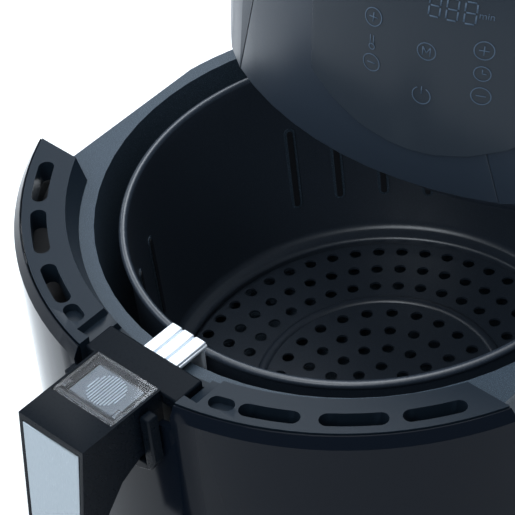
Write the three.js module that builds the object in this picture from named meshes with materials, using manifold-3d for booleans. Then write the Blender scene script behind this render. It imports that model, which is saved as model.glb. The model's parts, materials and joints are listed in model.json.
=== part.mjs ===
// Basket air fryer with its drawer pulled out. Millimetres, +Z up, the handle towards -Y.
// Everything is laid out from the basket's own axis and rim (z = 0 is the rim), then moved once so
// that the feet stand on z = 0 and the whole object is centred.
import * as THREE from "three";
import { mergeVertices } from "three/addons/utils/BufferGeometryUtils.js";
import Module from "manifold-3d";

const wasm = await Module();
wasm.setup();

// ---- driving dimensions -------------------------------------------------------------------------
const GAP = 0.4; // space left between neighbouring pieces
const RIM_R = 105; // basket rim, to the crest of its rolled bead
const FLOOR_Z = -108.4; // top of the perforated plate
const BASKET_TAPER = 4; // the basket wall narrows this much from rim to floor
const PAN_R = 117; // inside of the pan at its opening
const PAN_FLOOR_Z = -124;
const FLANGE_Z = 4; // top of the pan flange
const FLANGE_R = 124;
const FLANGE_HALF = 122.5; // flats on the two sides of the flange
const TRIM_IN = 128, TRIM_OUT = 147, TRIM_Z = 15; // top plate of the drawer front
const SKIN_R = 150.8, SKIN_T = 3; // outer skin of the drawer front
const SKIN_BOTTOM = -136;
const FRONT_Y = -64; // the drawer front ends on this line, square to its travel
const PULL = 160; // how far the drawer stands out of the housing
const WALL = 3; // housing wall
const BASE_Z = -150; // underside of the housing
const FOOT_H = 6;
const TOP_Z = 184;
const HANDLE_HALF = 18.5; // half width of the handle at its deck
const DECK_Z = 16;
const HANDLE_FRONT = -187;
const GRIP_BOTTOM = -106;
// housing outline: height, radius to the front, radius to the sides and back
const HOUSING = [
  [BASE_Z, 146, 146], [-141, SKIN_R, SKIN_R], [17, SKIN_R, SKIN_R], [40, 172.5, SKIN_R],
  [110, 163, 149], [142, 155, 145.5], [157, 149, 141], [168, 141, 134], [177, 131, 125], [TOP_Z, 117, 112],
];

// ---- helpers ------------------------------------------------------------------------------------
function solid(geometry) {
  const g = geometry.clone();
  g.deleteAttribute("normal");
  g.deleteAttribute("uv");
  const m = mergeVertices(g, 1e-4);
  const triVerts = new Uint32Array(m.index.array);
  const made = new wasm.Manifold(
    new wasm.Mesh({ numProp: 3, vertProperties: m.attributes.position.array, triVerts }),
  );
  if (made.volume() > 0) return made;
  for (let i = 0; i < triVerts.length; i += 3)
    [triVerts[i + 1], triVerts[i + 2]] = [triVerts[i + 2], triVerts[i + 1]];
  return new wasm.Manifold(
    new wasm.Mesh({ numProp: 3, vertProperties: m.attributes.position.array, triVerts }),
  );
}

function box(x0, x1, y0, y1, z0, z1) {
  const g = new THREE.BoxGeometry(x1 - x0, y1 - y0, z1 - z0);
  return solid(g.translate((x0 + x1) / 2, (y0 + y1) / 2, (z0 + z1) / 2));
}

function rod(x, y, z0, z1, r, sides = 32, rTop = r) {
  const g = new THREE.CylinderGeometry(rTop, r, z1 - z0, sides).rotateX(Math.PI / 2);
  return solid(g.translate(x, y, (z0 + z1) / 2));
}

// A closed profile of [radius, height] turned about a vertical axis through (0, y).
function turned(profile, y = 0, segments = 64) {
  const points = [...profile, profile[0]].map(([r, z]) => new THREE.Vector2(r, z));
  return solid(new THREE.LatheGeometry(points, segments).rotateX(Math.PI / 2).translate(0, y, 0));
}

function shapeOf(points) {
  const s = new THREE.Shape();
  points.forEach(([a, b], i) => (i ? s.lineTo(a, b) : s.moveTo(a, b)));
  return s;
}

// An outline in X and Z, drawn out along Y.
function alongY(points, y0, y1) {
  const g = new THREE.ExtrudeGeometry(shapeOf(points), { depth: y1 - y0, bevelEnabled: false });
  return solid(g.rotateX(Math.PI / 2).translate(0, y1, 0));
}

// An outline in Y and Z, drawn out along X.
function alongX(points, x0, x1) {
  const g = new THREE.ExtrudeGeometry(shapeOf(points), { depth: x1 - x0, bevelEnabled: false });
  g.applyMatrix4(new THREE.Matrix4().set(0, 0, 1, x0, 1, 0, 0, 0, 0, 1, 0, 0, 0, 0, 0, 1));
  return solid(g);
}

// An outline in X and Y, drawn out along Z.
function alongZ(points, z0, z1) {
  const g = new THREE.ExtrudeGeometry(shapeOf(points), { depth: z1 - z0, bevelEnabled: false });
  return solid(g.translate(0, 0, z0));
}

function smooth(a, b, v) {
  const t = Math.min(1, Math.max(0, (v - a) / (b - a)));
  return t * t * (3 - 2 * t);
}

const SIDES = 72;
function housingRing([z, front, side], inset) {
  return Array.from({ length: SIDES }, (_, i) => {
    const a = (2 * Math.PI * i) / SIDES, away = Math.min(a, 2 * Math.PI - a);
    const r = front + (side - front) * smooth(0.42, 1.05, away) - inset;
    return [r * Math.sin(a), PULL - r * Math.cos(a), z];
  });
}

function loft(rings) {
  const n = rings[0].length, v = rings.flat(2), tri = [];
  const low = rings[0][0][2], high = rings[rings.length - 1][0][2];
  v.push(0, PULL, low, 0, PULL, high);
  const bottom = rings.length * n, top = bottom + 1;
  for (let i = 0; i < n; i++) {
    const j = (i + 1) % n, last = (rings.length - 1) * n;
    for (let k = 0; k < rings.length - 1; k++) {
      const a = k * n + i, b = k * n + j, c = a + n, d = b + n;
      tri.push(a, b, d, a, d, c);
    }
    tri.push(bottom, j, i, top, last + i, last + j);
  }
  const g = new THREE.BufferGeometry();
  g.setAttribute("position", new THREE.Float32BufferAttribute(v, 3)).setIndex(tri);
  return solid(g);
}

// The housing as one solid, drawn in by inset; drop lowers its roof, rise lifts its floor.
function housing(inset, drop, rise) {
  return loft(HOUSING.map(([z, f, s], i) => {
    const level = i === 0 ? z + rise : i === HOUSING.length - 1 ? z - drop : z;
    return housingRing([level, f, s], inset);
  }));
}

// ---- the object ---------------------------------------------------------------------------------
const group = new THREE.Group();
const standing = new THREE.Group(); // moves everything onto the floor
const GRIP_FRONT = HANDLE_FRONT - 0.12 * (DECK_Z - GRIP_BOTTOM);
standing.position.set(0, -(GRIP_FRONT + PULL + SKIN_R) / 2, -BASE_Z + FOOT_H);
group.add(standing);

function node(name, made, color, metalness = 0, roughness = 0.5) {
  const m = made.getMesh();
  const g = new THREE.BufferGeometry();
  g.setAttribute("position", new THREE.BufferAttribute(new Float32Array(m.vertProperties), 3));
  g.setIndex(new THREE.BufferAttribute(new Uint32Array(m.triVerts), 1));
  g.computeVertexNormals();
  const look = new THREE.MeshStandardMaterial({ color, metalness, roughness, flatShading: true });
  const mesh = new THREE.Mesh(g, look);
  mesh.name = name;
  standing.add(mesh);
}

const BLACK = 0x14181e, DARK = 0x202833, STEEL = 0xb9c2cb, COATED = 0x1d232b;
const RUBBER = 0x111111, SILVER = 0xaab4be, GREEN = 0x1f5a3c, MICA = 0xb8a988;

// Housing shells: one hollow form cut along its seams.
const shell = housing(0, 0, 0).subtract(housing(WALL, WALL, -5));
const ROOF_Z = 158, REAR_Y = PULL + 95;
const seam = (z) => 72 - 0.27 * (z - 40); // the fascia narrows towards the top
const fasciaZone = (grow) => alongY(
  [[-seam(0) - grow, 0], [seam(0) + grow, 0], [seam(ROOF_Z) + grow, ROOF_Z - GAP + grow],
    [-seam(ROOF_Z) - grow, ROOF_Z - GAP + grow]], -60, PULL - 20);
const opening = box(-200, 200, -60, PULL + FRONT_Y + GAP, BASE_Z - 10, 17 - GAP);
const rearZone = (grow) => box(-88 - grow, 88 + grow, REAR_Y - grow, 400, BASE_Z - 10, ROOF_Z - GAP);
const belowRoof = box(-200, 200, -60, 400, BASE_Z - 10, ROOF_Z - GAP);
node("top_cover", shell.intersect(box(-200, 200, -60, 400, ROOF_Z, 300)), BLACK);
node("front_fascia", shell.intersect(fasciaZone(0)).subtract(opening), DARK, 0, 0.35);
const sides = shell.intersect(belowRoof).subtract(fasciaZone(GAP)).subtract(opening)
  .subtract(rearZone(GAP));
node("side_shell_left", sides.intersect(box(-200, -GAP / 2, -60, 400, -200, 300)), BLACK);
node("side_shell_right", sides.intersect(box(GAP / 2, 200, -60, 400, -200, 300)), BLACK);
const INLET_X = 50, INLET_Z = -118;
const inletHole = solid(new THREE.CylinderGeometry(9, 9, 80, 24).translate(INLET_X, PULL + 145, INLET_Z));
const exhaustHole = box(-42, 42, PULL + 100, 400, 52, 112);
node("rear_cover", shell.intersect(rearZone(0)).subtract(inletHole).subtract(exhaustHole), BLACK);

// Curved glossy panel over the display and touch keys.
const PANEL_X = 35, PANEL_HALF = 52;
const shield = alongY([[-52, 75], [-40, 67], [-25, 60.8], [-10, 57.6], [0, 57], [10, 57.6],
  [25, 60.8], [40, 67], [52, 75], [52, 138], [48, 144], [-48, 144], [-52, 138]]
  .map(([x, z]) => [PANEL_X + x * (PANEL_HALF / 52), z]), -60, PULL - 40);
node("control_overlay", housing(-1.3, -1.3, 0).subtract(housing(-GAP, -GAP, -5)).intersect(shield)
  .subtract(box(-200, 200, 60, 400, -200, 300)), BLACK, 0, 0.15);

// Base and feet.
node("base_plate", rod(0, PULL, BASE_Z + 0.5, BASE_Z + 3.5, 142.4, 64), BLACK);
[[-1, -1], [1, -1], [-1, 1], [1, 1]].forEach(([sx, sy]) => {
  const name = "foot_" + (sy < 0 ? "front" : "rear") + (sx < 0 ? "_left" : "_right");
  node(name, rod(sx * 92, PULL + sy * 92, BASE_Z - FOOT_H, BASE_Z + 0.1, 10, 24, 12), RUBBER);
});

// Cooking chamber: a U of sheet round the pan, its roof, and the rails the flange runs on.
const U_IN = 126, SHEET = 1;
function uShape(r, y0) {
  const arc = Array.from({ length: 25 }, (_, i) => {
    const a = (Math.PI * i) / 24;
    return [r * Math.cos(a), PULL + r * Math.sin(a)];
  });
  return [[r, y0], ...arc.slice(1, -1), [-r, y0]].map((p, i, all) => (i && i < all.length - 1 ? p : p));
}
const CHAMBER_Y = PULL + FRONT_Y + 4;
const withSides = (r) => {
  const u = uShape(r, PULL);
  return [[r, CHAMBER_Y], ...u, [-r, CHAMBER_Y]];
};
node("chamber_liner", alongZ(withSides(U_IN + SHEET), -140, 15)
  .subtract(alongZ(withSides(U_IN).map(([x, y]) => [x, y === CHAMBER_Y ? y - 5 : y]), -138.8, 20)), STEEL, 1, 0.4);
node("chamber_roof", alongZ(withSides(U_IN + SHEET), 15 + GAP, 16.6)
  .subtract(rod(0, PULL, 0, 30, 98, 48)), STEEL, 1, 0.4);
[-1, 1].forEach((s) => {
  const x = [s * (FLANGE_HALF - 2.9), s * (U_IN - GAP)].sort((a, b) => a - b);
  node(s < 0 ? "rail_left" : "rail_right", box(x[0], x[1], CHAMBER_Y + 2, PULL + 5, -6, 1.4), STEEL, 1, 0.4);
});

// Fan chamber above the basket: hood, guard, heater, fans, motor.
node("fan_hood", turned([[100, 17.4], [108, 17.4], [108, 18.6], [101.2, 18.6], [101.2, 61], [12, 61],
  [12, 59.8], [100, 59.8]], PULL, 48), STEEL, 1, 0.4);
const HEATER_Z = 30, TUBE = 3.4;
const ring = new THREE.TorusGeometry(68, TUBE, 12, 56).translate(0, PULL, HEATER_Z);
const leg = (x) => rod(x, PULL + 67, HEATER_Z, 59.4, TUBE, 16);
node("heater_element", solid(ring).add(leg(-9)).add(leg(9)), STEEL, 1, 0.35);
const guardRing = (r) => turned([[r, 19], [r + 2, 19], [r + 2, 21], [r, 21]], PULL, 48);
const spokes = [0, 1, 2, 3].map((k) => {
  const g = new THREE.BoxGeometry(192, 2, 2).rotateZ((k * Math.PI) / 4).translate(0, PULL, 20);
  return solid(g);
});
node("fan_guard", [96, 76, 56, 36, 16].map(guardRing).concat(spokes).reduce((a, b) => a.add(b)), STEEL, 1, 0.35);
function fan(z0, z1, hub, tip, blades, bore) {
  const disc = rod(0, PULL, z0, z0 + 1.5, tip * 0.62, 40).add(rod(0, PULL, z0, z1, hub, 24));
  const vanes = Array.from({ length: blades }, (_, k) => {
    const g = new THREE.BoxGeometry(tip - hub + 2, 1.6, z1 - z0);
    g.translate((tip + hub - 2) / 2, 0, (z0 + z1) / 2).rotateZ((k * 2 * Math.PI) / blades);
    return solid(g.translate(0, PULL, 0));
  });
  return vanes.reduce((a, b) => a.add(b), disc).subtract(rod(0, PULL, z0 - 5, z1 + 5, bore, 24));
}
node("convection_fan", fan(42, 55, 9, 54, 8, 3.4), STEEL, 1, 0.35);
node("motor_shaft", rod(0, PULL, 40, 121, 3, 24), STEEL, 1, 0.25);
node("motor_plate", rod(0, PULL, 66, 68, 92, 48).subtract(rod(0, PULL, 60, 75, 8, 24)), STEEL, 1, 0.4);
[45, 135, 225, 315].forEach((deg, i) => {
  const a = (deg * Math.PI) / 180;
  node("plate_post_" + (i + 1), rod(84 * Math.cos(a), PULL + 84 * Math.sin(a), 61.4, 65.6, 4, 16), STEEL, 1, 0.4);
});
node("motor", rod(0, PULL, 68.4, 104, 30, 40).subtract(rod(0, PULL, 60, 110, 4, 24)), SILVER, 1, 0.4);
node("cooling_fan", fan(108, 118, 8, 44, 7, 3.4), BLACK);

// Electronics.
node("control_board", box(PANEL_X - 42, PANEL_X + 30, 26, 27.6, 66, 132), GREEN);
node("power_board", box(-46, 46, PULL + 112, PULL + 113.6, -100, -20).intersect(box(-46, 46, 0, 400, -200, 0))
  .translate(0, 17.5, 0), GREEN);
node("door_switch", box(-8, 8, PULL - 158, PULL - 146, 42, 54).translate(0, 40, 0), BLACK);
const louvres = Array.from({ length: 7 }, (_, i) => box(-36, 36, PULL + 100, 400, 56 + i * 7.6, 59.6 + i * 7.6));
node("exhaust_grille", louvres.reduce((a, b) => a.subtract(b),
  shell.intersect(box(-42 + GAP, 42 - GAP, PULL + 100, 400, 52 + GAP, 112 - GAP))), BLACK);
node("power_inlet", solid(new THREE.CylinderGeometry(8.6, 8.6, 16, 24)
  .translate(INLET_X, PULL + 140, INLET_Z)), RUBBER);

// Pan with its flange.
const panWall = turned([[PAN_R - 5, PAN_FLOOR_Z], [PAN_R + 1.5, FLANGE_Z], [PAN_R, FLANGE_Z],
  [PAN_R - 6.5, PAN_FLOOR_Z + 1.5], [0, PAN_FLOOR_Z + 1.5], [0, PAN_FLOOR_Z]].slice(0, 6));
const flange = rod(0, 0, FLANGE_Z - 2, FLANGE_Z, FLANGE_R, 96)
  .add(rod(0, 0, FLANGE_Z - 2, FLANGE_Z, TRIM_IN - 0.5, 96).intersect(box(-200, 200, -200, FRONT_Y + 10, -10, 10)))
  .add(box(-FLANGE_HALF, FLANGE_HALF, FRONT_Y + 0.5, 20, FLANGE_Z - 2, FLANGE_Z))
  .intersect(box(-FLANGE_HALF, FLANGE_HALF, -200, 200, -10, 10))
  .subtract(rod(0, 0, -10, 10, PAN_R, 64));
node("pan", panWall.add(flange), COATED, 0.4, 0.55);

// Drawer front: top plate with its slots, and the skin below it.
const front = box(-200, 200, -220, FRONT_Y, -200, 60);
const NOTCH_HALF = 27, STEP_HALF = 34;
function slot(from, to, bottom = 4) { // a rounded arc slot, angles in degrees from -Y
  const at = (r, deg) => [r * Math.sin((deg * Math.PI) / 180), -r * Math.cos((deg * Math.PI) / 180)];
  const steps = Array.from({ length: 7 }, (_, i) => from + ((to - from) * i) / 6);
  const body = alongZ([...steps.map((d) => at(143, d)), ...steps.slice().reverse().map((d) => at(136, d))], bottom, 20);
  const cap = (d) => rod(...at(139.5, d), bottom, 20, 3.5, 20);
  return body.add(cap(from)).add(cap(to));
}
const slots = [[22, 29.6], [35.4, 44], [49, 56.8]];
const allSlots = slots.flatMap(([a, b]) => [slot(a, b), slot(-b, -a)]).reduce((a, b) => a.add(b));
const pockets = slot(16.6, 18.4, 11).add(slot(-18.4, -16.6, 11)); // blind, beside the handle
const notch = box(-NOTCH_HALF, NOTCH_HALF, -200, -100, -10, 40)
  .add(box(-STEP_HALF, STEP_HALF, -139, -100, 10.5, 40));
const trim = turned([[TRIM_IN - 4.5, FLANGE_Z + 0.5], [TRIM_OUT - 0.2, FLANGE_Z + 0.5], [TRIM_OUT - 0.2, TRIM_Z],
  [TRIM_IN, TRIM_Z]], 0, 120).intersect(front).subtract(notch).subtract(allSlots).subtract(pockets);
const trimBridge = turned([[TRIM_IN - 4.5, FLANGE_Z + 0.5], [TRIM_IN - 0.5, FLANGE_Z + 0.5],
  [TRIM_IN - 0.5, 6.5], [TRIM_IN - 3.6, 6.5]], 0, 120).intersect(front);
node("drawer_trim", trim.add(trimBridge), DARK, 0, 0.45);
// Closed channels under the slots, one on each side of the handle.
const channel = turned([[129.5, -9], [146.3, -9], [146.3, 4.1], [145.1, 4.1], [145.1, -7.8], [130.7, -7.8],
  [130.7, 4.1], [129.5, 4.1]], 0, 96).intersect(front);
node("slot_channel_left", channel.intersect(box(-200, -30, -200, 0, -20, 10)), BLACK);
node("slot_channel_right", channel.intersect(box(30, 200, -200, 0, -20, 10)), BLACK);
const TAB_HALF = 24;
const skinNotch = box(-TAB_HALF + 4, TAB_HALF - 4, -200, -100, -13.5, 40)
  .add(box(-NOTCH_HALF, NOTCH_HALF, -200, -100, 3, 40));
node("drawer_skin", turned([[SKIN_R, SKIN_BOTTOM], [SKIN_R, 9.5], [TRIM_OUT + 0.8, 14.5],
  [TRIM_OUT + 0.3, 14.5], [TRIM_OUT + 0.3, 2], [SKIN_R - SKIN_T, 0], [SKIN_R - SKIN_T, SKIN_BOTTOM]], 0, 120)
  .intersect(front).subtract(skinNotch), BLACK, 0, 0.2);
node("skin_bracket", box(-40, 40, -147, -116, -66, -62).add(box(-40, 40, -147, -116, -100, -96))
  .intersect(rod(0, 0, -200, 0, SKIN_R - SKIN_T - GAP, 120))
  .add(box(-40, 40, -126, -122, -99, -63)).subtract(rod(0, 0, -200, 20, PAN_R + 1.5 + GAP, 64)), BLACK);

// Basket.
const INNER_R = RIM_R - 3.2, OUTER_R = RIM_R - 1.6, LEDGE_Z = FLOOR_Z - 3;
const NARROW = BASKET_TAPER - 1; // taper down to the ledge that carries the plate
node("basket_wall", turned([[RIM_R - 11, LEDGE_Z - 1.6], [OUTER_R - NARROW, LEDGE_Z - 1.6], [OUTER_R, -3.4],
  [RIM_R + 2, -3.4], [RIM_R + 1, 0.4], [RIM_R - 2, 0.8], [INNER_R, -3], [INNER_R - NARROW, LEDGE_Z],
  [RIM_R - 11, LEDGE_Z]], 0, 40), COATED, 0.4, 0.5);
node("basket_floor", rod(0, 0, FLOOR_Z - 2.2, FLOOR_Z, RIM_R - 7.8, 64), COATED, 0.4, 0.5);
const CLIP_HALF = 10, BAR_BACK = -127;
node("basket_bracket", box(-CLIP_HALF, CLIP_HALF, BAR_BACK, -100, 7, 9.6)
  .add(box(-CLIP_HALF, CLIP_HALF, -111, -100, -34, 9.6)).subtract(rod(0, 0, -50, 50, RIM_R + 2 + GAP, 64)),
SILVER, 1, 0.3);

// Handle.
node("handle_bar", box(-NOTCH_HALF + 1, NOTCH_HALF - 1, -142.6, BAR_BACK - GAP, 7, 13.4), BLACK);
node("mounting_tab", alongY([[-TAB_HALF, 12], [-TAB_HALF, -12], [-TAB_HALF + 3, -18], [-TAB_HALF + 10, -21],
  [TAB_HALF - 10, -21], [TAB_HALF - 3, -18], [TAB_HALF, -12], [TAB_HALF, 12]], -157, SKIN_R * -1 - GAP)
  .subtract(box(-HANDLE_HALF - GAP, HANDLE_HALF + GAP, -170, -140, -15, 40)), BLACK);
const gripSide = [[-143.2, DECK_Z], [HANDLE_FRONT, DECK_Z], [GRIP_FRONT, GRIP_BOTTOM + 4],
  [GRIP_FRONT + 3, GRIP_BOTTOM], [GRIP_FRONT + 9, GRIP_BOTTOM], [GRIP_FRONT + 12, GRIP_BOTTOM + 4],
  [-184, -46], [-178, -28], [-169, -17], [-158, -11.5], [-151.3, -11.5], [-151.3, -7], [-143.2, -7]];
const COVER_FRONT = -169.4, COVER_HALF = 16.7;
const taper = alongY([[-HANDLE_HALF, 20], [HANDLE_HALF, 20], [HANDLE_HALF - 5, GRIP_BOTTOM - 5],
  [-HANDLE_HALF + 5, GRIP_BOTTOM - 5]], -260, -100);
const deckRecess = box(-COVER_HALF - GAP, COVER_HALF + GAP, COVER_FRONT - GAP, -100, 13.2, 30);
const buttonWell = box(-14, 14, -165.5, -146, 4, 30);
const stemHole = rod(0, -148.6, -30, 30, 1.9, 20);
const plateRecess = alongX([[HANDLE_FRONT - 9, 13], [HANDLE_FRONT + 1.4, 13], [GRIP_FRONT + 2.8, GRIP_BOTTOM + 8],
  [GRIP_FRONT - 12, GRIP_BOTTOM + 8]], -30, 30)
  .intersect(alongY([[-16.2, 13], [16.2, 13], [12.6, GRIP_BOTTOM + 8], [-12.6, GRIP_BOTTOM + 8]], -260, -150));
node("handle_grip", alongX(gripSide, -HANDLE_HALF, HANDLE_HALF).intersect(taper).subtract(deckRecess)
  .subtract(buttonWell).subtract(stemHole).subtract(plateRecess), BLACK);
const plateFront = (z) => HANDLE_FRONT - 0.12 * (DECK_Z - z);
node("handle_plate", alongX([[plateFront(12.6) - 0.4, 12.6], [plateFront(12.6) + 1, 12.6],
  [plateFront(GRIP_BOTTOM + 9) + 1, GRIP_BOTTOM + 9], [plateFront(GRIP_BOTTOM + 9) - 0.4, GRIP_BOTTOM + 9]], -30, 30)
  .intersect(alongY([[-15.8, 13], [15.8, 13], [12.2, GRIP_BOTTOM + 8], [-12.2, GRIP_BOTTOM + 8]], -260, -150)),
SILVER, 1, 0.3);
node("clear_cover", box(-COVER_HALF, COVER_HALF, COVER_FRONT, -143.4, 14, 15.8)
  .subtract(box(-13.6, 13.6, -165, -147, 13, 14.6)), 0xd8e0e6, 0, 0.1);
node("release_button", box(-13.2, 13.2, -164.8, -146.6, 10.6, 13.6), 0xc9cfd4);
node("button_stem", rod(0, -148.6, -8, 10.2, 1.5, 16).add(box(-5, 5, -150.2, -147, -8.8, -7.5)), SILVER, 1, 0.3);
node("button_spring", turned([[2.2, 4.6], [3.4, 4.6], [3.4, 10.2], [2.2, 10.2]], -156, 20), STEEL, 1, 0.3);

export default group;
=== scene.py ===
# %% [markdown]
# # A basket air fryer with its drawer pulled out
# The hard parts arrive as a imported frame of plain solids. Here they get their finished edges,
# the pressed details of the basket, the printed touch panel and their materials.

import json
import math

import bmesh
import bpy
from mathutils import Matrix, Vector


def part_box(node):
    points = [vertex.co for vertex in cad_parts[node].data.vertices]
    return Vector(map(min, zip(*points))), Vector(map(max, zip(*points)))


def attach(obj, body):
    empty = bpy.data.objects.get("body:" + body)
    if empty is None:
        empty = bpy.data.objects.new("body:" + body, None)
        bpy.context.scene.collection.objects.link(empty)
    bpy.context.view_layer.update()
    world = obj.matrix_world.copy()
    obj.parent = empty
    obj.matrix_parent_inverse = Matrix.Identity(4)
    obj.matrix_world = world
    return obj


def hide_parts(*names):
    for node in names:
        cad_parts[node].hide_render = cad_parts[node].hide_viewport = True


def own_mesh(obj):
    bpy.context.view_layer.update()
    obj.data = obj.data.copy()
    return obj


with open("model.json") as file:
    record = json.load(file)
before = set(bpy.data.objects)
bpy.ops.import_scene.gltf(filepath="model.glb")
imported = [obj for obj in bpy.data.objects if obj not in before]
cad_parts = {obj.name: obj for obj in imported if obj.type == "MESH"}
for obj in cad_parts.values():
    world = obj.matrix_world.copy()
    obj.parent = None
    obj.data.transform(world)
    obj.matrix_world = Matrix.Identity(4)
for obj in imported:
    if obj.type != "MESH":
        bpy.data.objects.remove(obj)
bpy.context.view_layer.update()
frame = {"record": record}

# %% [markdown]
# Every place is worked out from the basket. Its plate lies a known depth below the rim, so the
# middle of the plate gives the basket's axis and the height of the rim.

# %% The basket's own centre
MM = 0.001
PLATE_DEPTH = 108.4 * MM
plate_lo, plate_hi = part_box("basket_floor")
RIM = Vector(((plate_lo[0] + plate_hi[0]) / 2, (plate_lo[1] + plate_hi[1]) / 2,
              plate_hi[2] + PLATE_DEPTH))
BODY_OF = {n: b for b, nodes in frame["record"]["behaviour"]["bodies"].items() for n in nodes}
print("rim centre", [round(v, 4) for v in RIM])


# %% [markdown]
# ## The view
# A long lens held high over the right-hand corner of the drawer. Three directions say how it is
# turned: its right, its down and the way it looks.

# %% Camera
LENS, SENSOR = 200.3, 36
NEAR, FAR = 0.01, 50
CAMERA_FROM_RIM = Vector((0.6392, -0.6538, 0.8252))
LOOK_RIGHT = (0.7309, 0.6771, -0.0861)
LOOK_DOWN = (0.4176, -0.5434, -0.7283)
LOOK = (-0.5398, 0.4964, -0.6799)
camera = bpy.data.objects.new("camera", bpy.data.cameras.new("camera"))
bpy.context.scene.collection.objects.link(camera)
camera.data.lens, camera.data.sensor_width = LENS, SENSOR
turn = Matrix((LOOK_RIGHT, [-v for v in LOOK_DOWN], [-v for v in LOOK])).transposed()
camera.matrix_world = Matrix.Translation(RIM + CAMERA_FROM_RIM) @ turn.to_4x4()
camera.data.clip_start, camera.data.clip_end = NEAR, FAR
bpy.context.scene.camera = camera
print("camera", [round(v, 3) for v in camera.location])


# %% [markdown]
# ## Floor and light
# Gloss black plastic shows only what it mirrors, so the light is arranged as large soft panels:
# a broad one on the left and behind, a weak one in front, and darkness on the right.

# %% Floor, sky and lamps
def plain(name, color, roughness=0.5, metallic=0.0):
    made = bpy.data.materials.new(name)
    made.use_nodes = True
    shader = made.node_tree.nodes["Principled BSDF"]
    shader.inputs["Base Color"].default_value = (*color, 1)
    shader.inputs["Roughness"].default_value = roughness
    shader.inputs["Metallic"].default_value = metallic
    return made


HALF_FLOOR = 6.0
floor_mesh = bpy.data.meshes.new("floor")
floor_mesh.from_pydata([(x * HALF_FLOOR, y * HALF_FLOOR, 0)
                        for x, y in ((-1, -1), (1, -1), (1, 1), (-1, 1))], [], [(0, 1, 2, 3)])
floor = bpy.data.objects.new("floor", floor_mesh)
floor_mesh.materials.append(plain("floor_paper", (0.93, 0.94, 0.95), 0.9))
bpy.context.scene.collection.objects.link(floor)

SKY_COLOR, SKY_STRENGTH = (0.80, 0.90, 1.0), 0.30
world = bpy.data.worlds.new("studio")
bpy.context.scene.world = world
world.use_nodes = True
background = world.node_tree.nodes["Background"]
background.inputs["Color"].default_value = (*SKY_COLOR, 1)
background.inputs["Strength"].default_value = SKY_STRENGTH
bpy.context.scene.view_settings.view_transform = "Standard"


COOL_WHITE = (0.86, 0.93, 1.0)


def soft_light(name, place, aim, size, power, color=COOL_WHITE):
    """A rectangle of light in watts; its place and aim are metres from the middle of the rim."""
    data = bpy.data.lights.new(name, "AREA")
    data.shape, data.size, data.size_y = "RECTANGLE", *size
    data.energy, data.color = power, color
    lamp = bpy.data.objects.new(name, data)
    bpy.context.scene.collection.objects.link(lamp)
    lamp.location = RIM + Vector(place)
    lamp.rotation_euler = (RIM + Vector(aim) - lamp.location).to_track_quat("-Z", "Y").to_euler()


soft_light("left_panel", (-1.6, -0.5, 0.5), (0, -0.1, 0), (1.9, 1.8), 30)
soft_light("back_panel", (-0.6, 1.5, 1.5), (0, 0, 0), (1.8, 1.0), 34)
soft_light("top_panel", (-0.1, 0.1, 2.0), (0, 0, 0), (1.0, 1.0), 14)
soft_light("front_panel", (0.5, -1.6, 1.4), (0, 0.05, -0.08), (1.0, 1.0), 16)
soft_light("floor_wash", (0, 0, 2.8), (0, 0, -1), (4.0, 4.0), 60, (1, 1, 1))


# %% [markdown]
# ## Finishes
# Each finish is a small node tree on Object coordinates, so the grain keeps its size in metres
# however large the piece is.

# %% A finish with a fine grain
RELIEF_DEPTH = 0.2 * MM
SPECKLE_FROM, SPECKLE_TO = 0.52, 0.68  # the noise values between which the speckle fades in


def finish(name, color, roughness, metallic=0.0, grain=0.0, grain_scale=900.0, stretch=(1, 1, 1),
           speckle=None, speckle_scale=2600.0, shine=0.5, bump=0.0):
    made = plain(name, color, roughness, metallic)
    tree = made.node_tree
    shader = tree.nodes["Principled BSDF"]
    shader.inputs["Specular IOR Level"].default_value = shine
    where = tree.nodes.new("ShaderNodeTexCoord")
    scaled = tree.nodes.new("ShaderNodeMapping")
    scaled.inputs["Scale"].default_value = stretch
    tree.links.new(where.outputs["Object"], scaled.inputs["Vector"])
    noise = tree.nodes.new("ShaderNodeTexNoise")
    noise.inputs["Scale"].default_value = grain_scale
    tree.links.new(scaled.outputs["Vector"], noise.inputs["Vector"])
    rough = tree.nodes.new("ShaderNodeMapRange")
    rough.inputs["To Min"].default_value = max(0.02, roughness - grain)
    rough.inputs["To Max"].default_value = roughness + grain
    tree.links.new(noise.outputs["Fac"], rough.inputs["Value"])
    tree.links.new(rough.outputs["Result"], shader.inputs["Roughness"])
    if bump:
        relief = tree.nodes.new("ShaderNodeBump")
        relief.inputs["Strength"].default_value = bump
        relief.inputs["Distance"].default_value = RELIEF_DEPTH
        tree.links.new(noise.outputs["Fac"], relief.inputs["Height"])
        tree.links.new(relief.outputs["Normal"], shader.inputs["Normal"])
    if speckle:
        dots = tree.nodes.new("ShaderNodeTexNoise")
        dots.inputs["Scale"].default_value = speckle_scale
        tree.links.new(where.outputs["Object"], dots.inputs["Vector"])
        ramp = tree.nodes.new("ShaderNodeValToRGB")
        low, high = ramp.color_ramp.elements[0], ramp.color_ramp.elements[1]
        low.position, high.position = SPECKLE_FROM, SPECKLE_TO
        low.color, high.color = (*color, 1), (*speckle, 1)
        tree.links.new(dots.outputs["Fac"], ramp.inputs["Fac"])
        tree.links.new(ramp.outputs["Color"], shader.inputs["Base Color"])
    return made


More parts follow.
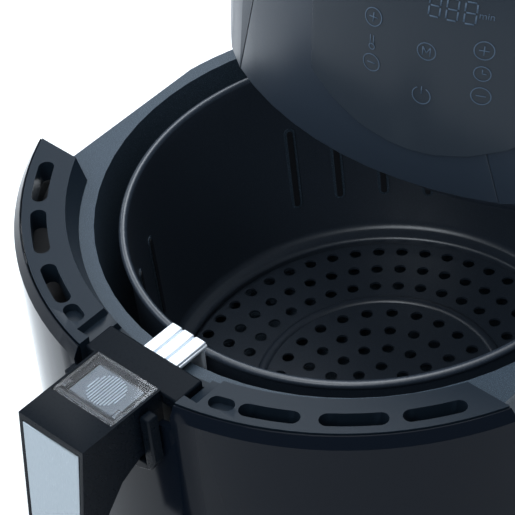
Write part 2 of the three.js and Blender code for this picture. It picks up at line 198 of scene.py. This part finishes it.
def clear_moulding():
    """Clear plastic: a low index, so that it bends what is behind it only a little."""
    made = plain("clear_moulding", (0.97, 0.98, 1.0), CLEAR_DULL)
    tree = made.node_tree
    shader = tree.nodes["Principled BSDF"]
    shader.inputs["Transmission Weight"].default_value = 0.97
    shader.inputs["IOR"].default_value = 1.18
    shader.inputs["Specular IOR Level"].default_value = 0.25
    where = tree.nodes.new("ShaderNodeTexCoord")
    cloud = tree.nodes.new("ShaderNodeTexNoise")
    cloud.inputs["Scale"].default_value = 300
    span = tree.nodes.new("ShaderNodeMapRange")
    span.inputs["To Min"].default_value = CLEAR_SHARP
    span.inputs["To Max"].default_value = CLEAR_DULL
    tree.links.new(where.outputs["Object"], cloud.inputs["Vector"])
    tree.links.new(cloud.outputs["Fac"], span.inputs["Value"])
    tree.links.new(span.outputs["Result"], shader.inputs["Roughness"])
    return made


CLEAR_SHARP, CLEAR_DULL = 0.01, 0.03  # the least and most roughness of the clear plastic
NAVY_BLACK = (0.018, 0.026, 0.038)
FINISHES = {
    "shell": finish("housing_satin", NAVY_BLACK, 0.32, grain=0.03, shine=0.18, bump=0.03),
    "fascia": finish("fascia_satin", NAVY_BLACK, 0.34, grain=0.03, shine=0.18, bump=0.03),
    "panel_gloss": finish("panel_smooth", (0.021, 0.028, 0.037), 0.22, grain=0.01, shine=0.12),
    "base_plastic": finish("matt_black", (0.010, 0.011, 0.014), 0.55, grain=0.05, shine=0.3),
    "rubber": finish("soft_rubber", (0.015, 0.015, 0.016), 0.8, grain=0.05),
    "sheet_steel": finish("aluminised_sheet", (0.50, 0.54, 0.58), 0.38, 1.0, grain=0.08,
                          grain_scale=300),
    "bright_steel": finish("drawn_steel", (0.60, 0.63, 0.66), 0.28, 1.0, grain=0.05),
    "circuit_board": finish("board_green", (0.02, 0.13, 0.07), 0.5, grain=0.05),
    "coated_metal": finish("nonstick_coating", (0.016, 0.023, 0.034), 0.36, 0.0, grain=0.05,
                           speckle=(0.034, 0.047, 0.066), shine=0.8, bump=0.08),
    "flange_coating": finish("flange_coating", (0.024, 0.038, 0.054), 0.42, 0.1, grain=0.05,
                             speckle=(0.075, 0.105, 0.14), shine=0.3, bump=0.12),
    "trim": finish("trim_satin", (0.008, 0.014, 0.022), 0.36, grain=0.04, shine=0.16, bump=0.05),
    "skin_gloss": finish("drawer_gloss", (0.003, 0.005, 0.009), 0.10, grain=0.01, shine=0.07),
    "handle_plastic": finish("handle_black", (0.003, 0.005, 0.008), 0.28, grain=0.03, shine=0.05),
    "brushed_plate": finish("brushed_plate", (0.28, 0.32, 0.35), 0.36, 1.0, grain=0.2,
                            grain_scale=260, stretch=(12, 12, 0.25), bump=0.25),
    "clip_metal": finish("clip_satin", (0.82, 0.88, 0.94), 0.34, 0.6, grain=0.06),
    "button_grey": finish("button_grey", (0.075, 0.098, 0.12), 0.35, grain=0.04),
    "rib_grey": finish("rib_grey", (0.36, 0.42, 0.47), 0.35, grain=0.04),
    "print": finish("panel_print", (0.055, 0.085, 0.125), 0.5, shine=0.2),
    "clear": clear_moulding(),
}
SLOT_OF = {s["node"]: s["material_slot"] for s in frame["record"]["subparts"]}
print(len(FINISHES), "finishes")


# %% [markdown]
# ## Making a piece
# One helper links a mesh, gives it a finish and says which body it moves with. Smooth shading is
# kept to gentle angles so that real edges stay crisp.

# %% Add a piece
def piece(name, mesh, body, slot, material=None, smooth=35):
    made = bpy.data.objects.new(name, mesh)
    bpy.context.scene.collection.objects.link(made)
    mesh.materials.clear()
    mesh.materials.append(material or FINISHES[slot])
    mesh.polygons.foreach_set("material_index", [0] * len(mesh.polygons))
    mesh.shade_smooth()
    mesh.set_sharp_from_angle(angle=math.radians(smooth))
    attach(made, body)
    return made


# %% [markdown]
# ## Edges
# A moulded part never has a razor edge. A copy of each plain solid is merged, its flat faces are
# joined, and a narrow bevel is cut along every hard edge; it then stands for the plain solid.

# %% Bevelled copies of the plain solids
MERGE_WITHIN, FLAT_WITHIN = 0.002 * MM, 0.6  # metres between points, degrees between faces


def cad_node(name):
    return bpy.data.objects[name]


def softened(node, width, segments=2, material=None, smooth=35):
    mesh = cad_node(node).data.copy()
    work = bmesh.new()
    work.from_mesh(mesh)
    bmesh.ops.remove_doubles(work, verts=work.verts, dist=MERGE_WITHIN)
    bmesh.ops.dissolve_limit(work, angle_limit=math.radians(FLAT_WITHIN), verts=work.verts,
                             edges=work.edges)
    work.to_mesh(mesh)
    work.free()
    made = piece(node + "_finished", mesh, BODY_OF[node], SLOT_OF[node], material, smooth)
    edge = made.modifiers.new("edge", "BEVEL")
    edge.width, edge.segments, edge.limit_method = width, segments, "ANGLE"
    edge.angle_limit = math.radians(smooth)
    edge.harden_normals, edge.use_clamp_overlap = False, True
    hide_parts(node)
    return made


EDGES = {
    "drawer_trim": 0.7 * MM, "handle_grip": 1.2 * MM, "handle_bar": 0.8 * MM,
    "mounting_tab": 0.8 * MM, "front_fascia": 0.9 * MM, "side_shell_left": 0.9 * MM,
    "side_shell_right": 0.9 * MM, "top_cover": 0.9 * MM, "rear_cover": 0.9 * MM,
    "control_overlay": 0.3 * MM, "drawer_skin": 0.8 * MM, "clear_cover": 0.5 * MM,
    "release_button": 0.6 * MM, "handle_plate": 0.3 * MM,
}
for name, width in EDGES.items():
    softened(name, width)
print(len(EDGES), "solids given soft edges")

# %% [markdown]
# Solids that are hidden inside, or whose plain shape is already right, only get their finish.

# %% Finishes on the plain solids
REPLACED = set(EDGES) | {"pan", "basket_wall", "basket_floor", "basket_bracket", "button_spring"}
for name, slot in SLOT_OF.items():
    if name in REPLACED:
        continue
    solid = cad_node(name)
    for holder in solid.material_slots:
        holder.material = FINISHES[slot]
    if not solid.material_slots:
        solid.data.materials.append(FINISHES[slot])
print(len(SLOT_OF) - len(REPLACED), "plain solids finished")


# %% [markdown]
# ## Turned sheet metal
# The pan and the basket are drawn from sheet; the basket is a profile turned about its axis. The
# profile runs down the inside and back up the outside, which closes it.

# %% Turn a profile
def turned(profile, steps=144):
    """A mesh from the (radius, height) points of a closed section, in metres from the rim."""
    work = bmesh.new()
    angles = [2 * math.pi * k / steps for k in range(steps)]
    rings = [[work.verts.new((RIM.x + radius * math.cos(t), RIM.y + radius * math.sin(t),
                              RIM.z + height)) for t in angles] for radius, height in profile]
    for a, b in zip(rings, rings[1:] + rings[:1]):
        for k in range(steps):
            j = (k + 1) % steps
            work.faces.new([a[k], a[j], b[j], b[k]])
    bmesh.ops.recalc_face_normals(work, faces=work.faces)
    mesh = bpy.data.meshes.new("turned")
    work.to_mesh(mesh)
    work.free()
    return mesh


def arc(cx, cz, radius, start, end, steps=8):
    """Points of a round corner, angles in degrees from outwards, anticlockwise in the section."""
    turns = [math.radians(start + (end - start) * k / steps) for k in range(steps + 1)]
    return [(cx + radius * math.cos(t), cz + radius * math.sin(t)) for t in turns]
# %% [markdown]
# The basket wall: a rolled bead at the rim, a slightly tapered wall, a round corner into the
# edge of the floor and a raised bead where the perforated plate begins.

# %% Basket wall
RIM_R = 105 * MM
INNER_R, WALL_TOP = RIM_R - 2.0 * MM, -6 * MM  # where the inner wall leaves the rolled bead
SEAT_R = RIM_R - 10.8 * MM  # the wall's inner edge, against the plate
BEAD_R, CORNER_R, SEAT_BEAD_R, FILLET_R = 1.9 * MM, 6.8 * MM, 2.0 * MM, 4.4 * MM
wall_profile = (
    arc(RIM_R, -0.9 * MM, BEAD_R, 180, -60, 12)
    + [(RIM_R - 0.3 * MM, -3.2 * MM), (RIM_R - 3.2 * MM, -96 * MM)]
    + arc(RIM_R - 10.2 * MM, -103 * MM, CORNER_R, 0, -90, 8)
    + [(SEAT_R, -112.4 * MM), (SEAT_R, -109.4 * MM)]
    + arc(RIM_R - 10.6 * MM, -105.2 * MM, SEAT_BEAD_R, 180, 90, 4)
    + arc(RIM_R - 9.4 * MM, -99 * MM, FILLET_R, -60, 0, 6)
    + [(INNER_R, WALL_TOP)]
)
wall = piece("basket_wall_pressed", turned(wall_profile), "basket", "coated_metal", smooth=50)
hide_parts("basket_wall")
print("basket wall", len(wall.data.polygons), "faces")

# %% [markdown]
# The pan: an almost straight wall with a flat flange at the top. The flange is flattened on its two
# sides and runs forward under the drawer's trim, so it is a bevelled copy of the solid.

# %% Pan
softened("pan", 0.6 * MM, material=FINISHES["flange_coating"])


# %% [markdown]
# ## The perforated plate
# Drain holes stand on circles, so Geometry Nodes place a small circle at each point of a bigger
# one, ring after ring. Fill Curve turns the plate's edge with all its holes into one face, and
# Extrude gives it a thickness. Every ring's radius and count is a named input.

# %% Node tree for the plate
RINGS = [(88.4, 50), (76.6, 44), (65.0, 38), (46.8, 25), (35.0, 19), (23.3, 13), (11.6, 6)]
PHASES = [1.8, 1.2, 0.3, 8.9, 9.7, 11.0, 7.8]  # degrees that each ring is turned by
PLATE_R, PLATE_T, HOLE_R = RIM_R - 10.4 * MM, 1.2 * MM, 2.8 * MM
EDGE_SIDES, HOLE_SIDES = 128, 20


def plate_tree(material):
    tree = bpy.data.node_groups.new("perforated_plate", "GeometryNodeTree")
    face = tree.interface
    face.new_socket("Geometry", in_out="OUTPUT", socket_type="NodeSocketGeometry")
    sizes = [("Edge radius", PLATE_R), ("Hole radius", HOLE_R), ("Thickness", PLATE_T)]
    sizes += [(f"Ring {k + 1} radius", radius * MM) for k, (radius, _) in enumerate(RINGS)]
    for label, value in sizes:
        made = face.new_socket(label, in_out="INPUT", socket_type="NodeSocketFloat")
        made.default_value = value
    for k, (_, count) in enumerate(RINGS):
        made = face.new_socket(f"Ring {k + 1} holes", in_out="INPUT", socket_type="NodeSocketInt")
        made.default_value = count
    given, out = tree.nodes.new("NodeGroupInput"), tree.nodes.new("NodeGroupOutput")

    def circle(steps=12):
        made = tree.nodes.new("GeometryNodeCurvePrimitiveCircle")
        made.inputs["Resolution"].default_value = steps
        return made

    edge, hole = circle(EDGE_SIDES), circle(HOLE_SIDES)
    join = tree.nodes.new("GeometryNodeJoinGeometry")
    tree.links.new(given.outputs["Edge radius"], edge.inputs["Radius"])
    tree.links.new(given.outputs["Hole radius"], hole.inputs["Radius"])
    tree.links.new(edge.outputs["Curve"], join.inputs["Geometry"])
    for k in range(len(RINGS)):
        line, dots = circle(), tree.nodes.new("GeometryNodeInstanceOnPoints")
        tree.links.new(given.outputs[f"Ring {k + 1} radius"], line.inputs["Radius"])
        tree.links.new(given.outputs[f"Ring {k + 1} holes"], line.inputs["Resolution"])
        spun = tree.nodes.new("GeometryNodeTransform")
        spun.inputs["Rotation"].default_value = (0, 0, math.radians(PHASES[k]))
        tree.links.new(line.outputs["Curve"], spun.inputs["Geometry"])
        tree.links.new(spun.outputs["Geometry"], dots.inputs["Points"])
        tree.links.new(hole.outputs["Curve"], dots.inputs["Instance"])
        tree.links.new(dots.outputs["Instances"], join.inputs["Geometry"])
    solid = tree.nodes.new("GeometryNodeRealizeInstances")
    fill = tree.nodes.new("GeometryNodeFillCurve")
    thick = tree.nodes.new("GeometryNodeExtrudeMesh")
    thick.inputs["Individual"].default_value = False
    paint = tree.nodes.new("GeometryNodeSetMaterial")
    paint.inputs["Material"].default_value = material
    back, both = tree.nodes.new("GeometryNodeFlipFaces"), tree.nodes.new("GeometryNodeJoinGeometry")
    weld = tree.nodes.new("GeometryNodeMergeByDistance")
    weld.inputs["Distance"].default_value = WELD_WITHIN
    tree.links.new(join.outputs["Geometry"], solid.inputs["Geometry"])
    tree.links.new(solid.outputs["Geometry"], fill.inputs["Curve"])
    tree.links.new(fill.outputs["Mesh"], thick.inputs["Mesh"])
    tree.links.new(given.outputs["Thickness"], thick.inputs["Offset Scale"])
    tree.links.new(fill.outputs["Mesh"], back.inputs["Mesh"])
    tree.links.new(back.outputs["Mesh"], both.inputs["Geometry"])
    tree.links.new(thick.outputs["Mesh"], both.inputs["Geometry"])
    tree.links.new(both.outputs["Geometry"], weld.inputs["Geometry"])
    tree.links.new(weld.outputs["Geometry"], paint.inputs["Geometry"])
    tree.links.new(paint.outputs["Geometry"], out.inputs["Geometry"])
    return tree


def plain_mesh(data, tree=None):
    """The mesh that a curve, a text or a node tree makes, without the object that held it."""
    holder = bpy.data.objects.new("holder", data)
    bpy.context.scene.collection.objects.link(holder)
    if tree:
        holder.modifiers.new("grow", "NODES").node_group = tree
    bpy.context.view_layer.update()
    seen = holder.evaluated_get(bpy.context.evaluated_depsgraph_get())
    mesh = bpy.data.meshes.new_from_object(seen)
    bpy.data.objects.remove(holder)
    return mesh


WELD_WITHIN = 0.01 * MM
plate_mesh = plain_mesh(bpy.data.meshes.new("plate_seed"), plate_tree(FINISHES["coated_metal"]))
plate_mesh.transform(Matrix.Translation(RIM + Vector((0, 0, -PLATE_DEPTH - PLATE_T))))
plate = piece("basket_plate_perforated", plate_mesh, "basket", "coated_metal")
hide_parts("basket_floor")
print("plate", len(plate_mesh.polygons), "faces, holes", sum(n for _, n in RINGS))

# %% [markdown]
# A pressed bead stiffens the plate between its inner and outer holes. It is a low round ridge.

# %% Stiffening bead
RIDGE_R, RIDGE_HALF, RIDGE_ROUND = 55.6 * MM, 2.0 * MM, 2.4 * MM
RIDGE_FOOT = -PLATE_DEPTH - 0.9 * MM
RIDGE_FLATTEN = 0.55
ridge = arc(RIDGE_R, -PLATE_DEPTH - 0.2 * MM, RIDGE_ROUND, 170, 10, 8)
ridge += [(RIDGE_R + RIDGE_HALF, RIDGE_FOOT), (RIDGE_R - RIDGE_HALF, RIDGE_FOOT)]
ridge = [(r, -PLATE_DEPTH + (z + PLATE_DEPTH) * RIDGE_FLATTEN) for r, z in ridge]
piece("plate_bead", turned(ridge), "basket", "coated_metal", smooth=60)


# %% [markdown]
# ## Slots pressed in the basket wall
# Groups of upright slots mark the wall. Each is a slim rounded bar that stands a fraction of a
# millimetre proud of the wall and leans with it, turned to face the axis. The frames take the
# brighter flange coating as a painted highlight along the slot edges.

# %% Rounded bars
def rounded_bar(width, depth, height, steps=6):
    """A bar standing on z = 0 with round ends in the X-Z plane and its depth along Y."""
    work = bmesh.new()
    half = width / 2
    rim = arc(0, height - half, half, 0, 180, steps) + arc(0, half, half, 180, 360, steps)
    front = [work.verts.new((x, -depth / 2, z)) for x, z in rim]
    back = [work.verts.new((x, depth / 2, z)) for x, z in rim]
    work.faces.new(front)
    work.faces.new(list(reversed(back)))
    for k in range(len(rim)):
        j = (k + 1) % len(rim)
        work.faces.new([front[k], back[k], back[j], front[j]])
    bmesh.ops.recalc_face_normals(work, faces=work.faces)
    return work


def joined(parts):
    """One mesh from several bmeshes, which are freed."""
    work = bmesh.new()
    for part in parts:
        temporary = bpy.data.meshes.new("part")
        part.to_mesh(temporary)
        part.free()
        work.from_mesh(temporary)
        bpy.data.meshes.remove(temporary)
    mesh = bpy.data.meshes.new("joined")
    work.to_mesh(mesh)
    work.free()
    return mesh


SLOT_LOW, SLOT_HIGH = -82 * MM, -34 * MM
SLOT_W, THROAT_W = 5.4 * MM, 2.6 * MM
SLOT_GROUPS, SLOTS_EACH, SLOT_STEP = (27, 117, 207, 297), 4, 12  # first angles, count, degrees
WALL_LEAN = 3 / 93  # the inner wall comes in this much for each millimetre down
slot_angles = [first + SLOT_STEP * k for first in SLOT_GROUPS for k in range(SLOTS_EACH)]
# painted highlight: the slot frames take the brighter flange coating so that the slot edges read
# light
for label, width, stand, finish_name in (("painted_highlight_frames", SLOT_W, 0.5 * MM, "flange_coating"),
                                         # painted shade: the slot throats take matt black to stand
                                         # for the dark inside of each slot
                                         ("painted_shade_throats", THROAT_W, 0.9 * MM, "base_plastic")):
    inset = (SLOT_W - width) / 2
    low, height = SLOT_LOW + inset, SLOT_HIGH - SLOT_LOW - 2 * inset
    radius = INNER_R - WALL_LEAN * (WALL_TOP - low)
    bars = []
    for degrees in slot_angles:
        t = math.radians(degrees)
        foot = RIM + Vector((radius * math.cos(t), radius * math.sin(t), low))
        bars.append(rounded_bar(width, 2 * stand, height))
        bars[-1].transform(Matrix.Translation(foot) @ Matrix.Rotation(t + math.pi / 2, 4, "Z")
                           @ Matrix.Rotation(math.atan(WALL_LEAN), 4, "X"))
    piece("wall_slot_" + label, joined(bars), "basket", "coated_metal", FINISHES[finish_name],
          smooth=30)
print(len(slot_angles), "wall slots")

# %% [markdown]
# ## The spring clip
# A bright clip joins the handle to the rim. It is three rounded bands with two grooves between
# them, above a plain tongue that goes down the wall.

# %% Clip
clip_lo, clip_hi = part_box("basket_bracket")


def block(x0, x1, y0, y1, z0, z1):
    work = bmesh.new()
    bmesh.ops.create_cube(work, size=1)
    middle = Matrix.Translation(((x0 + x1) / 2, (y0 + y1) / 2, (z0 + z1) / 2))
    bmesh.ops.transform(work, verts=work.verts,
                        matrix=middle @ Matrix.Diagonal((x1 - x0, y1 - y0, z1 - z0, 1)))
    return work


clip_floor = RIM.z + 7.0 * MM
BANDS, HALF_GROOVE, BAND_PROUD = 3, 0.5 * MM, 0.6 * MM
BAND_LONG, BED_LONG, BED_BELOW = 18.6 * MM, 18.8 * MM, 0.8 * MM
TONGUE_IN, TONGUE_FRONT, TONGUE_BACK = 2 * MM, 3.4 * MM, 1.4 * MM
BAND = (clip_hi[0] - clip_lo[0]) / BANDS
bands = [block(x0 + HALF_GROOVE, x0 + BAND - HALF_GROOVE, clip_lo[1], clip_lo[1] + BAND_LONG,
               clip_floor + BAND_PROUD, clip_hi[2] + BAND_PROUD)
         for x0 in (clip_lo[0] + k * BAND for k in range(BANDS))]
bands.append(block(clip_lo[0], clip_hi[0], clip_lo[1], clip_lo[1] + BED_LONG,
                   clip_floor, clip_hi[2] - BED_BELOW))
bands.append(block(clip_lo[0] + TONGUE_IN, clip_hi[0] - TONGUE_IN,
                   clip_hi[1] - TONGUE_FRONT, clip_hi[1] - TONGUE_BACK,
                   clip_lo[2], clip_hi[2] - BAND_PROUD))
clip = piece("rim_clip", joined(bands), "basket", "clip_metal")
bevel = clip.modifiers.new("edge", "BEVEL")
bevel.width, bevel.segments, bevel.limit_method = 0.6 * MM, 3, "ANGLE"
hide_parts("basket_bracket")

# %% [markdown]
# ## The release button and its cover
# Fine ribs cross a round field on the button, so each rib is as long as the circle is wide there.
# The clear cover has a raised rim and two pivots, and a coil spring stands under the button.

# %% Ribs, rim of the cover, its pivots and the coil
button_lo, button_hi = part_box("release_button")
centre_x, centre_y = (button_lo[0] + button_hi[0]) / 2, (button_lo[1] + button_hi[1]) / 2
SUNK = 0.1 * MM  # raised details start this far inside the piece that they stand on
FIELD, RIBS, HALF_RIB, RIB_PROUD = 8.2 * MM, 12, 0.28 * MM, 0.35 * MM
ribs = []
for k in range(RIBS):
    across = (k - (RIBS - 1) / 2) * 2 * FIELD / RIBS
    half = math.sqrt(FIELD**2 - across**2)
    ribs.append(block(centre_x + across - HALF_RIB, centre_x + across + HALF_RIB,
                      centre_y - half, centre_y + half,
                      button_hi[2] - SUNK, button_hi[2] + RIB_PROUD))
piece("button_ribs", joined(ribs), "button", "button_grey", FINISHES["rib_grey"], smooth=30)
cover_lo, cover_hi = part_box("clear_cover")
LIP, LIP_PROUD = 1.3 * MM, 0.4 * MM
HINGE_ROOM = 0.6 * MM  # the hinge edge stays low so that it clears the handle
HALF_PIVOT, PIVOT_IN, PIVOT_PROUD = 1.4 * MM, 2.2 * MM, 0.9 * MM
PIVOT_FROM, PIVOT_TO = 3.6 * MM, 7.6 * MM
hinge_y = cover_lo[1] + HINGE_ROOM
frame_bars = [
    (cover_lo[0], cover_lo[0] + LIP, hinge_y, cover_hi[1]),
    (cover_hi[0] - LIP, cover_hi[0], hinge_y, cover_hi[1]),
    (cover_lo[0] + LIP, cover_hi[0] - LIP, hinge_y, hinge_y + LIP),
    (cover_lo[0] + LIP, cover_hi[0] - LIP, cover_hi[1] - LIP, cover_hi[1]),
]
raised = [block(x0, x1, y0, y1, cover_hi[2] - SUNK, cover_hi[2] + LIP_PROUD)
          for x0, x1, y0, y1 in frame_bars]
raised += [block(x - HALF_PIVOT, x + HALF_PIVOT, cover_lo[1] + PIVOT_FROM, cover_lo[1] + PIVOT_TO,
                 cover_hi[2] - SUNK, cover_hi[2] + PIVOT_PROUD)
           for x in (cover_lo[0] + PIVOT_IN, cover_hi[0] - PIVOT_IN)]
piece("cover_rim", joined(raised), "cover", "clear")
spring_lo, spring_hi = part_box("button_spring")
COIL_R, WIRE_R, COIL_INSET = 2.8 * MM, 0.3 * MM, 0.4 * MM
TURNS, STEPS = 4, 16
spring_foot = ((spring_lo[0] + spring_hi[0]) / 2, (spring_lo[1] + spring_hi[1]) / 2, spring_lo[2])
rise = (spring_hi[2] - spring_lo[2] - 2 * COIL_INSET) / (TURNS * STEPS)
spring = bpy.data.curves.new("button_coil", "CURVE")
spring.dimensions, spring.bevel_depth, spring.bevel_resolution = "3D", WIRE_R, 2
line = spring.splines.new("POLY")
line.points.add(TURNS * STEPS)
for k in range(TURNS * STEPS + 1):
    t = 2 * math.pi * k / STEPS
    line.points[k].co = (spring_foot[0] + COIL_R * math.cos(t),
                         spring_foot[1] + COIL_R * math.sin(t),
                         spring_foot[2] + COIL_INSET + rise * k, 1)
coil = piece("button_coil", plain_mesh(spring), BODY_OF["button_spring"], "bright_steel")
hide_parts("button_spring")
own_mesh(coil)
print("button ribs", RIBS)

# %% [markdown]
# ## The touch panel's print
# Keys are printed as thin lines on the curved panel. Each mark is drawn flat, seen from the
# front, and then every point is laid on the panel at its own height and distance from the middle.

# %% Lay marks on the panel
BODY_Y = RIM.y + 160 * MM
PRINT_LIFT, PRINT_SHIFT_X, PRINT_SHIFT_Z = 0.12 * MM, 1.5 * MM, 1.0 * MM
# the housing's front at three heights: millimetres above the rim, and its radius there
FRONT_LOW, FRONT_BEND, FRONT_HIGH = (40, 172.5), (110, 163), (142, 155)
PANEL_PROUD = 1.3


def on_panel(x, z):
    """The front of the panel at x from the middle and z above the rim, both in metres."""
    z += PRINT_SHIFT_Z
    above_bend = z > FRONT_BEND[0] * MM
    (z0, r0), (z1, r1) = (FRONT_BEND, FRONT_HIGH) if above_bend else (FRONT_LOW, FRONT_BEND)
    radius = (r0 - (z / MM - z0) * (r0 - r1) / (z1 - z0) + PANEL_PROUD) * MM
    x += PRINT_SHIFT_X
    return Vector((x, BODY_Y - math.sqrt(radius**2 - x**2) - PRINT_LIFT, RIM.z + z))


def band(points, width, closed=False):
    """A flat line of the given width through points in the X-Z plane."""
    work = bmesh.new()
    points = [Vector((x, 0, z)) for x, z in points]
    count = len(points)
    sides = []
    for k, p in enumerate(points):
        before = points[k - 1] if k or closed else p
        after = points[(k + 1) % count] if k < count - 1 or closed else p
        along = (after - before).normalized()
        across = Vector((-along.z, 0, along.x)) * width / 2
        sides.append((work.verts.new(p + across), work.verts.new(p - across)))
    for k in range(count if closed else count - 1):
        a, b = sides[k], sides[(k + 1) % count]
        work.faces.new([a[0], a[1], b[1], b[0]])
    return work


def ring_mark(x, z, radius, start=0, end=360, steps=32):
    """A printed circle, or an open arc of one."""
    closed = end - start >= 360
    points = arc(x, z, radius, start, end, steps)
    return band(points[:steps] if closed else points, LINE, closed)


LINE = 0.45 * MM
marks = []


def key(x, z, radius, *strokes):
    """A ringed key; a stroke is two ends, measured from the key's middle."""
    marks.append(ring_mark(x, z, radius))
    marks.extend(band([(x + a, z + b), (x + c, z + d)], LINE) for a, b, c, d in strokes)


KEY = 3.9 * MM
ARM = 2.0 * MM
LEFT, MIDDLE, RIGHT = 14.2 * MM, 39.0 * MM, 61.8 * MM
PLUS, MINUS = ((-ARM, 0, ARM, 0), (0, -ARM, 0, ARM)), ((-ARM, 0, ARM, 0),)
key(LEFT, 112.8 * MM, KEY, *PLUS)
key(LEFT, 91.6 * MM, KEY, *MINUS)
key(RIGHT, 110.9 * MM, KEY, *PLUS)
key(RIGHT, 90.0 * MM, KEY, *MINUS)
key(RIGHT, 100.4 * MM, KEY * 0.85, (0, 0, 0, ARM), (0, 0, ARM * 0.8, 0))
key(MIDDLE, 105.2 * MM, KEY, (-ARM * 0.8, -ARM, -ARM * 0.8, ARM),
    (-ARM * 0.8, ARM, 0, -ARM * 0.3), (0, -ARM * 0.3, ARM * 0.8, ARM),
    (ARM * 0.8, ARM, ARM * 0.8, -ARM))
POWER_X, POWER_Z = 37.7 * MM, 84.1 * MM
marks.append(ring_mark(POWER_X, POWER_Z, KEY, 118, 422))
marks.append(band([(POWER_X, POWER_Z + ARM * 0.4), (POWER_X, POWER_Z + KEY * 1.1)], LINE))
STEM_LOW, STEM_HIGH, BULB_Z, BULB_R = 100.4 * MM, 104.6 * MM, 99.2 * MM, 1.3 * MM
for dx in (-0.8, 0.8):
    marks.append(band([(LEFT + dx * MM, STEM_LOW), (LEFT + dx * MM, STEM_HIGH)], LINE * 0.8))
marks.append(ring_mark(LEFT, BULB_Z, BULB_R))
DIGIT_W, DIGIT_H, DIGIT_GAP, DIGIT_LINE = 4.6 * MM, 9.2 * MM, 0.5 * MM, LINE * 1.5
DIGITS, DIGIT_STEP, DIGITS_X, z0 = 3, 7.2 * MM, 38 * MM, 121 * MM
for x0 in (DIGITS_X + column * DIGIT_STEP for column in range(DIGITS)):
    for z in (z0, z0 + DIGIT_H / 2, z0 + DIGIT_H):
        marks.append(band([(x0 + DIGIT_GAP, z), (x0 + DIGIT_W - DIGIT_GAP, z)], DIGIT_LINE))
    for x in (x0, x0 + DIGIT_W):
        for z in (z0, z0 + DIGIT_H / 2):
            marks.append(band([(x, z + DIGIT_GAP), (x, z + DIGIT_H / 2 - DIGIT_GAP)], DIGIT_LINE))
def printed(name, mesh):
    """A piece of ink on the panel, given just enough thickness to be a body."""
    made = piece(name, mesh, "housing", "panel_gloss", FINISHES["print"])
    ink = made.modifiers.new("ink", "SOLIDIFY")
    ink.thickness, ink.offset = INK_T, 0


INK_T = 0.08 * MM
LABEL_X, LABEL_Z, LABEL_SIZE = 61 * MM, 124 * MM, 4.2 * MM
print_mesh = joined(marks)
for vertex in print_mesh.vertices:
    vertex.co = on_panel(vertex.co.x, vertex.co.z)
printed("panel_print", print_mesh)
label = bpy.data.curves.new("unit_label", "FONT")
label.body, label.size, label.align_x = "min", LABEL_SIZE, "CENTER"
label_mesh = plain_mesh(label)
for vertex in label_mesh.vertices:
    vertex.co = on_panel(LABEL_X + vertex.co.x, LABEL_Z + vertex.co.y)
printed("panel_label", label_mesh)
print("panel marks", len(marks))
